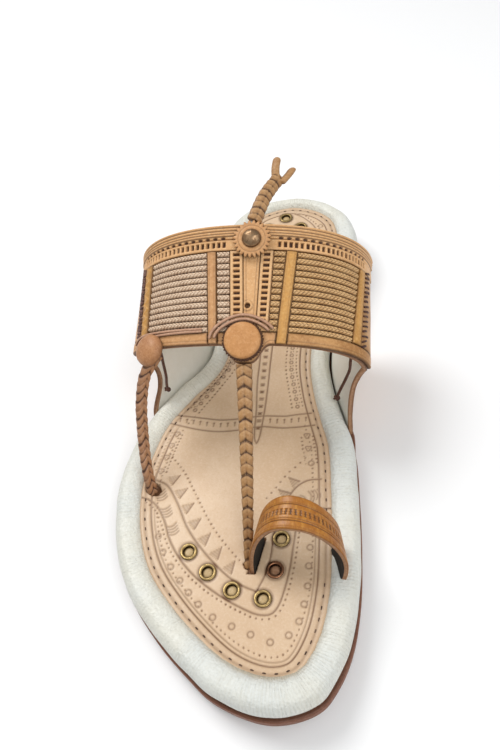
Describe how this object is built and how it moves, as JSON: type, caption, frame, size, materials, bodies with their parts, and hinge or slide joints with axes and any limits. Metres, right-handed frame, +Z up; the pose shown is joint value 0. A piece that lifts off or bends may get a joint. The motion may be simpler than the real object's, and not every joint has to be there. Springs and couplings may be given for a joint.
{
  "type": "kolhapuri sandal",
  "caption": "Flat open sandal for a right foot: padded footbed, braided strap over the instep, braided thongs to the toes, a leather toe ring and a split braided tail.",
  "frame": {"origin": "centre of the outer box, on the ground under the sole", "axes": "+Z up, -Y towards the toe, +Y towards the heel, +X towards the big-toe (medial) side"},
  "size_m": [0.1186, 0.2908, 0.1084],
  "materials": {
    "outsole": "matte brown sole edge, stitched look left to the render",
    "cushion": "cream pebbled leather over padding, soft sheen",
    "lining": "cream smooth lining leather with a brown cut edge",
    "insole": "beige tan vegetable-tanned leather, tooled and stitched",
    "strap": "tan leather, satin",
    "cord": "braided leather cord, satin",
    "golden": "golden brown leather, satin",
    "thong": "dark brown thong, matte",
    "brass": "antique brass, rubbed"
  },
  "bodies": {
    "root": {"outsole": "outsole", "footbed": "cushion", "upper_band": "lining", "insole": "insole", "front_border_lateral": "strap", "front_border_centre": "strap", "front_border_medial": "strap", "centre_panel": "strap", "ladder_lateral": "strap", "ladder_medial": "strap", "side_lateral": "strap", "side_medial": "strap", "strip_lateral_outer": "strap", "strip_lateral_inner": "strap", "strip_medial_inner": "strap", "strip_medial_outer": "strap", "back_border_slots": "strap", "back_border_ridge": "strap", "rosette": "strap", "front_button": "strap", "side_button": "strap", "thong_arch_inner": "strap", "thong_arch_outer": "strap", "woven_lateral": "cord", "woven_lateral_inner": "cord", "woven_medial_inner": "cord", "woven_medial": "cord", "centre_braid": "golden", "side_braid": "golden", "tail_braid": "golden", "toe_ring": "golden", "thong_end_lateral": "thong", "thong_end_medial": "thong", "thong_knot_lateral": "thong", "thong_knot_medial": "thong", "rosette_stud": "brass", "eyelet_front_1": "brass", "eyelet_front_2": "brass", "eyelet_front_3": "brass", "eyelet_front_4": "brass", "eyelet_front_5": "brass", "eyelet_front_6": "brass", "eyelet_heel_1": "brass", "eyelet_heel_2": "brass", "eyelet_heel_3": "brass", "eyelet_heel_4": "brass", "eyelet_heel_5": "brass"}
  },
  "joints": []
}
